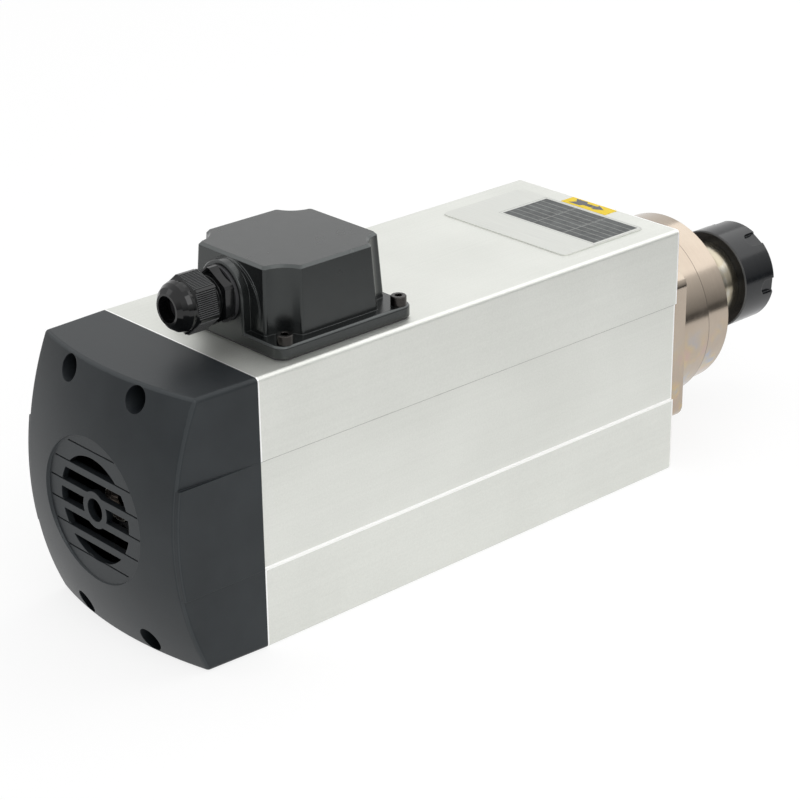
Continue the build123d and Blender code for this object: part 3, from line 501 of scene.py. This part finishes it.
cover_plastic = moulded("charcoal_plastic", (0.0075, 0.0095, 0.0115), (0.040, 0.045, 0.050),
                        roughness=0.44, grain_size=0.55, grain_depth=0.035, edge_width=0.35,
                        Specular_IOR_Level=0.42, Specular_Tint=(0.92, 0.98, 1.0, 1))
box_plastic = moulded("satin_black_plastic", (0.0035, 0.0042, 0.0044), (0.070, 0.075, 0.075),
                      roughness=0.25, grain_size=5.0, grain_depth=0.008, edge_width=0.5, dusty=0.1,
                      cloudy=0.06, Specular_IOR_Level=0.66, Specular_Tint=(0.95, 1.0, 0.99, 1))
gland_plastic = moulded("black_nylon", (0.0020, 0.0023, 0.0026), (0.016, 0.017, 0.018),
                        roughness=0.10, grain_size=4.0, grain_depth=0.003, edge_width=0.12, dusty=0.2,
                        Specular_IOR_Level=0.42)
# The ribs are of the gland's black nylon. Their paler colour is a painted highlight.
highlighted_rib_plastic = moulded("highlighted_rib_nylon", (0.055, 0.057, 0.058), (0.090, 0.092, 0.094),
                      roughness=0.3, grain_size=2.4, grain_depth=0.004, edge_width=0.02, dusty=0.2)
fan_plastic = moulded("fan_plastic", (0.006, 0.006, 0.007), (0.03, 0.03, 0.03),
                      roughness=0.5, grain_size=0.7, grain_depth=0.03, edge_width=0.3)
block_plastic = moulded("terminal_block_plastic", (0.045, 0.04, 0.035), (0.10, 0.09, 0.08),
                        roughness=0.42, grain_size=0.8, grain_depth=0.02, edge_width=0.3)
rubber = moulded("seal_rubber", (0.020, 0.020, 0.022), (0.06, 0.06, 0.065),
                 roughness=0.6, grain_size=0.4, grain_depth=0.05, edge_width=0.3)
lead_covering = moulded("lead_covering", (0.30, 0.03, 0.02), (0.45, 0.08, 0.05),
                        roughness=0.38, grain_size=1.0, grain_depth=0.02, edge_width=0.2)
dress(cover_plastic, "rear_cover")
dress(box_plastic, "terminal_box")
dress(gland_plastic, "gland_body", "gland_dome_nut", "gland_locknut")
dress(fan_plastic, "fan")
dress(block_plastic, "terminal_block")
dress(rubber, "gland_seal", "gland_washer", "terminal_box_gasket", "lead_grommet")
dress(lead_covering, "motor_leads")
print("plastics dressed", len(bpy.data.materials), "materials so far")

# %% [markdown]
# The rounded edges of the cover and of the box are tinted paler as a painted highlight.
# The mask on sharp edges is too narrow for a wide rounding, and painting a mask by hand
# would not follow a change of size. A face on a rounding leans: its normal lies between two
# axes, and that finds it anywhere. The boss that holds the gland is round all over, so it
# is left out.

# %% Painted highlights on the rounded edges of the cover and the box
lengthwise, upright = 1, 2
box_wall_rear = -102.0
box_flange_top = 126.0

# Painted highlight: the leaning faces of the cover's rounded edges are tinted paler.
cover_plastic.tint(cover_plastic.leaning(lengthwise, 0.35, 0.85) * 0.35, (0.055, 0.062, 0.066))
box_y, box_z = box_plastic.axes()[1:]
off_the_boss = box_plastic.most(box_y > box_wall_rear, box_z < box_flange_top)
# Painted highlight on the box's rounded edges, away from the gland's boss.
box_edge_highlight = box_plastic.leaning(upright, 0.3, 0.93) * off_the_boss
box_plastic.tint(box_edge_highlight * 0.7, (0.085, 0.092, 0.092))
print("highlighted", cover_plastic.material.name, "and", box_plastic.material.name)

# %% [markdown]
# The nose, the shaft and the screws are turned on a lathe, so their marks run round an
# axis: rings on a flat face and hoops on a round one. Separate patterns could draw the two,
# but coordinates that hold the distance from the axis, the place along it and only a
# little of the angle give both at once.

# %% Turned metals
axis_height = 60.0
smudge_size = 16


def round_the_axis(finish):
    """The distance from the spindle's axis, the place along it and the angle round it."""
    x, y, z = finish.axes((0, 0, axis_height))
    return finish.maths("SQRT", x * x + z * z), y, finish.maths("ARCTAN2", z, x)


def turned_place(finish, round_share=0.8):
    """Coordinates in which the marks of a lathe run round the spindle's axis."""
    radius, along, angle = round_the_axis(finish)
    return finish.node("CombineXYZ", None, {0: radius, 1: along, 2: angle * round_share})


def turned_metal(name, colour, wear_and_highlight, roughness, metallic=1.0, mark=0.5, depth=0.005, edge=0.3,
                 spread=0.5, **others):
    """A metal from the lathe, with tool marks, smudges and edges brightened as a painted highlight."""
    finish = Finish(name, colour, roughness, metallic, **others)
    marks = finish.noise(mark, turned_place(finish), detail=3, rough=0.6)
    smudge = finish.noise(smudge_size, detail=4, rough=0.6)
    uneven = finish.range(marks * 0.35 + smudge * 0.65, 0.36, 0.64)
    # The brighter edges are a painted highlight. The uneven tone of marks and smudges is real.
    finish.tint(uneven * spread + finish.edge(edge) * 0.4, wear_and_highlight)
    finish.feed("Roughness", finish.range(marks * 0.5 + smudge * 0.5, 0.3, 0.7,
                                          roughness - 0.04, roughness + 0.05))
    if depth:
        finish.bump(marks, depth, edge)
    return finish


screw_steel = turned_metal("screw_steel", (0.034, 0.032, 0.030), (0.38, 0.36, 0.34), 0.24,
                           mark=0.3, edge=0.25, spread=0.05)
bearing_steel = turned_metal("bearing_steel", (0.62, 0.63, 0.64), (0.78, 0.79, 0.80), 0.14,
                             mark=0.3, depth=0.002, edge=0.15)
spring_steel = turned_metal("spring_steel", (0.36, 0.35, 0.33), (0.50, 0.48, 0.45), 0.3)
cast_aluminium = turned_metal("cast_aluminium", (0.48, 0.49, 0.49), (0.64, 0.65, 0.65), 0.5,
                              mark=1.2, depth=0.05)
brass = turned_metal("brass", (0.62, 0.46, 0.20), (0.78, 0.62, 0.32), 0.26, edge=0.2)
dress(screw_steel, "rear_cover_screws", "terminal_box_screws", "front_flange_screws", "front_cap_screws",
      "earth_screw", "fan_circlip", "bearing_locknut")
dress(bearing_steel, "rear_bearing_outer_ring", "rear_bearing_inner_ring", "rear_bearing_balls",
      "front_bearing_outer_rings", "front_bearing_inner_rings", "front_bearing_balls", "collet")
dress(spring_steel, "preload_spring")
dress(cast_aluminium, "rear_bracket", "rotor_cage")
dress(brass, "terminal_screws")
print("turned metals dressed", len(bpy.data.materials), "materials so far")

# %% [markdown]
# The flange and the cap are nickel plated, a warm silver. Low down, where hands and
# coolant reached it, the plating has tarnished to a thin film with pink, straw and blue
# tints. A shader with a real thin film would need its thickness at every point, so a ramp
# gives the tints: their share grows towards the underside and clouds break it up. A fine
# dark line of painted shadow marks the gap at the joint between the two pieces.

# %% Nickel plate
film_tints = {0.0: (0.52, 0.33, 0.33), 0.5: (0.55, 0.43, 0.23), 1.0: (0.33, 0.38, 0.48)}
film_top, film_full = 6.0, -16.0
seam_place = 155.6
seam_half_width = 0.7


def nickel_plate():
    finish = turned_metal("nickel_plate", (0.42, 0.355, 0.29), (0.50, 0.43, 0.355), 0.15,
                          mark=0.9, depth=0.003)
    y, z = finish.axes((0, 0, axis_height))[1:]
    low_down = finish.range(z, film_top, film_full)
    clouds = finish.range(finish.noise(13, detail=3, rough=0.6), 0.46, 0.62)
    patches = finish.range(finish.noise(10), 0.32, 0.68)
    film = finish.node("ValToRGB", {"stops": film_tints}, {0: patches})
    finish.tint(low_down * clouds * 0.75, film)
    # Painted shadow: a fine dark line in the gap where the flange meets the cap.
    seam_shadow = abs(y - seam_place) < seam_half_width
    finish.tint(seam_shadow * 0.6, (0.06, 0.05, 0.04))
    return finish


dress(nickel_plate(), "front_flange", "front_cap")
print("nickel film tints", len(film_tints))

# %% [markdown]
# The shaft is ground steel. Next to the cap its collar has taken a straw tint from the
# heat of grinding, its tail inside the cover is coloured dark brown, and the stretch
# under the collet nut carries a thread. That thread shows only when the nut is unscrewed,
# so it is no mesh but a bump: a ridge that climbs as it goes round.

# %% Ground shaft
cap_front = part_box("front_cap")[1].y / mm
shaft_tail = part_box("spindle_shaft")[0].y / mm
nose_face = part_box("spindle_shaft")[1].y / mm
thread_start = 206.0
thread_end_gap = 1.2
thread_pitch = 1.5
thread_radius = 19.4
dark_tail_length = 30
dark_tail_radius = 8.0


def ground_shaft():
    finish = turned_metal("ground_steel", (0.46, 0.44, 0.39), (0.58, 0.56, 0.50), 0.22, depth=0)
    radius, along, angle = round_the_axis(finish)
    on_collar = inside(along, cap_front, thread_start)
    straw = on_collar * finish.range(finish.noise(5), 0.25, 0.5)
    finish.tint(straw * 0.5, (0.40, 0.33, 0.20))
    streak = on_collar * finish.range(finish.noise(3.0, turned_place(finish)), 0.45, 0.7)
    finish.tint(streak * 0.35, (0.15, 0.12, 0.07))
    dark_tail = (along < shaft_tail + dark_tail_length) * (radius < dark_tail_radius)
    finish.tint(dark_tail, (0.085, 0.07, 0.06))
    climb = along + angle * (thread_pitch / (2 * math.pi))
    ridge = finish.maths("PINGPONG", climb, thread_pitch / 2)
    threaded = inside(along, thread_start, nose_face - thread_end_gap) * (radius > thread_radius)
    finish.bump(ridge * threaded, thread_pitch / 2, 0.2)
    return finish


dress(ground_shaft(), "spindle_shaft")
print("shaft from", round(shaft_tail, 2), "to", round(nose_face, 2), "mm")

# %% [markdown]
# The collet nut is blackened steel. The film of oxide looks like a dark satin lacquer, so
# it is no metal to the eye, and a metallic shader would make it too bright. It starts as a
# turned metal and is made black and not metallic, and its chamfers carry a grey painted
# highlight.

# %% Blackened nut
nut_black = turned_metal("blackened_steel", (0.0030, 0.0042, 0.0060), (0.150, 0.155, 0.160), 0.16,
                         metallic=0.0, mark=3.0, depth=0.0004, edge=0.6, spread=0.02,
                         Specular_IOR_Level=0.40)
# Painted highlight: the nut's chamfers are tinted grey.
nut_black.tint(nut_black.leaning(lengthwise, 0.25, 0.95) * 0.5, (0.13, 0.13, 0.125))
dress(nut_black, "collet_nut")
nut_low, nut_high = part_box("collet_nut")
print("blackened nut", in_mm(nut_high - nut_low))

# %% [markdown]
# The stator and the rotor are stacks of thin stamped sheets, which show as fine lines
# across the spindle, and the windings are lacquered copper wire, which shows as strands
# that run round it. Hundreds of sheets and wires could be modelled, but almost nothing of
# them is ever seen, so a wave and a stretched noise draw them.

# %% Laminations and windings
def laminations():
    finish = Finish("laminations", (0.20, 0.20, 0.21), 0.45, 0.9)
    sheets = finish.node("TexWave", {"bands_direction": "Y"},
                         {"Vector": finish.place(), "Scale": 0.62, "Distortion": 0.3})
    finish.tint(sheets, (0.34, 0.34, 0.35))
    finish.feed("Roughness", finish.range(sheets, 0, 1, 0.45, 0.36))
    finish.bump(sheets, 0.05)
    return finish


def windings():
    finish = Finish("lacquered_copper", (0.42, 0.16, 0.05), 0.32, 0.75)
    strands = finish.noise(0.7, turned_place(finish, round_share=3.0), detail=1)
    bright = finish.range(strands, 0.35, 0.65)
    finish.tint(bright, (0.72, 0.36, 0.15))
    finish.feed("Roughness", finish.range(bright, 0, 1, 0.32, 0.24))
    finish.bump(strands, 0.25)
    return finish


dress(laminations(), "stator_core", "rotor_core")
dress(windings(), "stator_winding")
print("cores and windings dressed")

# %% [markdown]
# The name plate is a silver foil with a dark panel, which has rules only, like an empty
# form, and a thin frame round it. The rules could be a picture, but a mask worked out in
# the plate's own coordinates stays sharp at any size.

# %% Name plate
panel_left, panel_right = -20.5, 37.4
panel_rear, panel_front = 81.75, 110.75
rule_width = 0.5
row_pitch = 4.14
column_pitch = 19.3
frame_side_gap, frame_end_gap = 1.3, 0.9
frame_width = 0.3


def name_plate():
    finish = Finish("name_plate", (0.70, 0.71, 0.68), 0.40, 0.85, Specular_IOR_Level=0.3)
    x, y = finish.axes()[:2]
    brushed = finish.noise(0.5, finish.place(stretch=(60, 1, 1)))
    finish.colour = finish.mix(finish.range(brushed, 0.3, 0.7), (0.66, 0.67, 0.635), (0.73, 0.74, 0.70))
    past_side = abs(x - (panel_left + panel_right) / 2) - ((panel_right - panel_left) / 2 + frame_side_gap)
    past_end = abs(y - (panel_rear + panel_front) / 2) - ((panel_front - panel_rear) / 2 + frame_end_gap)
    finish.tint(inside(finish.most(past_side, past_end), 0, frame_width) * 0.5, (0.12, 0.12, 0.12))
    panel = inside(x, panel_left, panel_right) * inside(y, panel_rear, panel_front)
    row = finish.maths("PINGPONG", y - panel_rear, row_pitch / 2) < rule_width / 2
    column = finish.maths("PINGPONG", x - panel_left, column_pitch / 2) < rule_width / 2
    printed = panel * (1 - finish.most(row, column) * 0.3)
    faded = finish.range(finish.noise(3.5, detail=3, rough=0.65), 0.35, 0.65)
    finish.tint(printed, finish.mix(faded, (0.045, 0.050, 0.050), (0.095, 0.104, 0.102)))
    finish.feed("Metallic", 0.85 - printed * 0.8)
    finish.feed("Roughness", finish.range(brushed, 0.3, 0.7, 0.36, 0.46))
    finish.bump(brushed - printed * 0.2, 0.008, 0.15)
    return finish


dress(name_plate(), "nameplate")
plate_low, plate_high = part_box("nameplate")
print("name plate", in_mm(plate_high - plate_low))

# %% [markdown]
# The fine pieces are modelled as by hand: a primitive is added, parts of it are selected
# and shaped in edit mode, and modifiers finish it. A list of corners could be typed in
# instead, but it would not show how the shape comes about. By hand one clicks on a face or
# an edge, and here code selects it by its place.

# %% Tools for modelling
def select_by(piece, kind, test):
    """Selects a piece's faces, edges or corners whose place passes a test, in edit mode."""
    bpy.ops.object.mode_set(mode="OBJECT")
    mesh = piece.data
    for part in (*mesh.vertices, *mesh.edges, *mesh.polygons):
        part.select = False
    for part in getattr(mesh, kind):
        if kind == "vertices":
            place = part.co
        elif kind == "edges":
            place = (mesh.vertices[part.vertices[0]].co + mesh.vertices[part.vertices[1]].co) / 2
        else:
            place = part.center
        part.select = bool(test(place))
    modes = {"vertices": "VERT", "edges": "EDGE", "polygons": "FACE"}
    bpy.ops.object.mode_set(mode="EDIT")
    bpy.ops.mesh.select_mode(type=modes[kind])


def applied(piece, kind, **settings):
    """Adds a modifier with its settings and applies it."""
    bpy.context.view_layer.objects.active = piece
    modifier = piece.modifiers.new(kind.lower(), kind)
    for name, value in settings.items():
        setattr(modifier, name, value)
    bpy.ops.object.modifier_apply(modifier=modifier.name)


# %% [markdown]
# A yellow label shows which way the spindle turns. The film is the CAD solid. Its arrow
# could be a mask in the film's colour, but a thin sheet of ink keeps a crisp edge: a narrow
# strip whose one end is extruded to a head and a point and whose other end is extruded to
# two feathers, then given the ink's thickness.

# %% Arrow label
label_low, label_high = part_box("arrow_label")
arrow_share = 0.54
film_gap = 0.01
ink_thickness = 0.03
strip_half_width = 1.45
strip_rear, strip_front = -2.6, 4.4
barb_step, barb_widening = 0.5, 2.0
head_length, point_share = 5.4, 0.01
feather_step, feather_widening = 1.0, 2.05
feather_length = 7.0
notch_depth = 2.4
near = 0.1 * mm

yellow_film = moulded("yellow_film", (0.97, 0.70, 0.035), (0.98, 0.75, 0.08), roughness=0.45,
                      grain_size=1.2, grain_depth=0.006, edge_width=0.1, dusty=0.1,
                      Specular_IOR_Level=0.15)
print_ink = moulded("print_ink", (0.085, 0.088, 0.10), (0.12, 0.12, 0.13), roughness=0.4,
                    grain_size=0.6, grain_depth=0.004, edge_width=0.1, dusty=0.1)
dress(yellow_film, "arrow_label")

arrow_middle = Vector(((label_low.x + label_high.x) / 2,
                       label_low.y + arrow_share * (label_high.y - label_low.y),
                       label_high.z + film_gap * mm))
head_start = arrow_middle.x + strip_front * mm
feather_start = arrow_middle.x + strip_rear * mm
feather_tip = feather_start - (feather_step + feather_length) * mm


def extrude_end(step, widening=1.0):
    """Extrudes the selected end edge along X and makes the new edge wider or narrower."""
    bpy.ops.mesh.extrude_region_move(TRANSFORM_OT_translate={"value": (step * mm, 0, 0)})
    bpy.ops.transform.resize(value=(1, widening, 1), center_override=arrow_middle)


deselect_all()
bpy.ops.mesh.primitive_plane_add(size=1, location=arrow_middle)
arrow = bpy.context.object
arrow.name = "arrow_print"
arrow.scale = ((strip_front - strip_rear) * mm, 2 * strip_half_width * mm, 1)
arrow.location.x += (strip_front + strip_rear) / 2 * mm
bpy.ops.object.transform_apply(location=True, rotation=True, scale=True)
select_by(arrow, "edges", lambda place: place.x > head_start - near)
extrude_end(-barb_step, barb_widening)
extrude_end(head_length, point_share)
select_by(arrow, "edges", lambda place: place.x < feather_start + near)
extrude_end(-feather_step, feather_widening)
extrude_end(-feather_length)
bpy.ops.mesh.subdivide(number_cuts=1)
select_by(arrow, "vertices",
          lambda place: place.x < feather_tip + near and abs(place.y - arrow_middle.y) < near)
bpy.ops.transform.translate(value=(notch_depth * mm, 0, 0))
bpy.ops.mesh.select_all(action="SELECT")
bpy.ops.mesh.remove_doubles(threshold=0.001 * mm)
bpy.ops.mesh.normals_make_consistent(inside=False)
bpy.ops.object.mode_set(mode="OBJECT")
applied(arrow, "SOLIDIFY", thickness=ink_thickness * mm, offset=1)
arrow.data.materials.append(print_ink.material)
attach(arrow, "motor")
print("arrow", len(arrow.data.polygons), "faces, size", in_mm(arrow.dimensions))

# %% [markdown]
# The gland's dome nut is hexagonal, with fine ribs on its flats for a good grip. An Array
# modifier could repeat them, but plain copies are easier to place on six flats. One rib is
# a bar whose top is drawn in and rounded, and its copies stand side by side on each flat.
# The flats are found from the hexagon's turn, so that every copy is one rotation.

# %% Ribs of the dome nut
gland_axis = Vector((9.0, 0, 139.6)) * mm
flat_count = 6
flat_distance = 11.0
first_flat = math.radians(11)
rib_count = 13
rib_pitch = 0.84
rib_width = 0.48
rib_rise = 0.34
rib_sink = 0.1
rib_rear, rib_front = -126.6, -116.9
rib_top_length, rib_top_width = 0.96, 0.7
rib_rounding = 0.1


def one_rib():
    """A rib on the flat that faces +X, before it is turned and moved to its place."""
    deselect_all()
    middle = Vector((flat_distance + (rib_rise - rib_sink) / 2, (rib_rear + rib_front) / 2, 0)) * mm
    bpy.ops.mesh.primitive_cube_add(size=1, location=middle)
    made = bpy.context.object
    made.scale = ((rib_rise + rib_sink) * mm, (rib_front - rib_rear) * mm, rib_width * mm)
    bpy.ops.object.transform_apply(location=True, rotation=True, scale=True)
    top = (flat_distance + rib_rise) * mm
    select_by(made, "polygons", lambda place: place.x > top - rib_sink * mm)
    bpy.ops.transform.resize(value=(1, rib_top_length, rib_top_width))
    bpy.ops.mesh.bevel(offset=rib_rounding * mm, segments=2)
    bpy.ops.object.mode_set(mode="OBJECT")
    return made


rib = one_rib()
ribs = []
for flat in range(flat_count):
    turn = Matrix.Rotation(-first_flat - flat * 2 * math.pi / flat_count, 4, "Y")
    for place in range(rib_count):
        along_flat = (place - (rib_count - 1) / 2) * rib_pitch * mm
        copy = bpy.data.objects.new("rib", rib.data.copy())
        bpy.context.scene.collection.objects.link(copy)
        copy.data.transform(Matrix.Translation(gland_axis) @ turn @ Matrix.Translation((0, 0, along_flat)))
        ribs.append(copy)
bpy.data.objects.remove(rib)
deselect_all()
for copy in ribs:
    copy.select_set(True)
gland_ribs = ribs[0]
bpy.context.view_layer.objects.active = gland_ribs
bpy.ops.object.join()
gland_ribs.name = "gland_ribs"
# Paler nylon on the ribs: a painted highlight.
gland_ribs.data.materials.append(highlighted_rib_plastic.material)
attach(gland_ribs, "gland_dome_nut")
print("ribs", flat_count * rib_count, "with", len(gland_ribs.data.polygons), "faces")

# %% [markdown]
# Between the two hexagons a short stretch of the gland's thread shows. Stacked rings would
# look much alike, but a real thread is one small profile that climbs as it turns, and that
# is what the Screw modifier does. Its two open ends are closed afterwards.

# %% Thread of the gland
neck_radius = 8.8
gland_pitch = 1.5
gland_thread_rear, gland_thread_front = -116.3, -113.1
ridge_rise = 0.22
ridge_sink = 0.05
ridge_foot = 0.8 * gland_pitch

deselect_all()
bpy.ops.mesh.primitive_circle_add(vertices=3, radius=1, fill_type="NOTHING", location=(0, 0, 0))
thread = bpy.context.object
thread.name = "gland_thread"
profile = ((0, 0), (ridge_rise + ridge_sink, ridge_foot / 2), (0, ridge_foot))
for corner, (outward, along) in zip(thread.data.vertices, profile):
    corner.co = Vector((neck_radius - ridge_sink + outward, along, 0)) * mm
turns = int((gland_thread_front - gland_thread_rear) / gland_pitch)
applied(thread, "SCREW", axis="Y", angle=2 * math.pi, screw_offset=gland_pitch * mm, iterations=turns,
        steps=64, render_steps=64, use_normal_calculate=True)
thread.data.transform(Matrix.Translation((gland_axis.x, gland_thread_rear * mm, gland_axis.z)))
bpy.ops.object.mode_set(mode="EDIT")
bpy.ops.mesh.select_all(action="DESELECT")
bpy.ops.mesh.select_mode(type="EDGE")
bpy.ops.mesh.select_non_manifold()
bpy.ops.mesh.edge_face_add()
bpy.ops.mesh.select_all(action="SELECT")
bpy.ops.mesh.normals_make_consistent(inside=False)
bpy.ops.object.mode_set(mode="OBJECT")
thread.data.materials.append(gland_plastic.material)
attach(thread, "motor")
print("thread turns", turns, "size", in_mm(thread.dimensions))
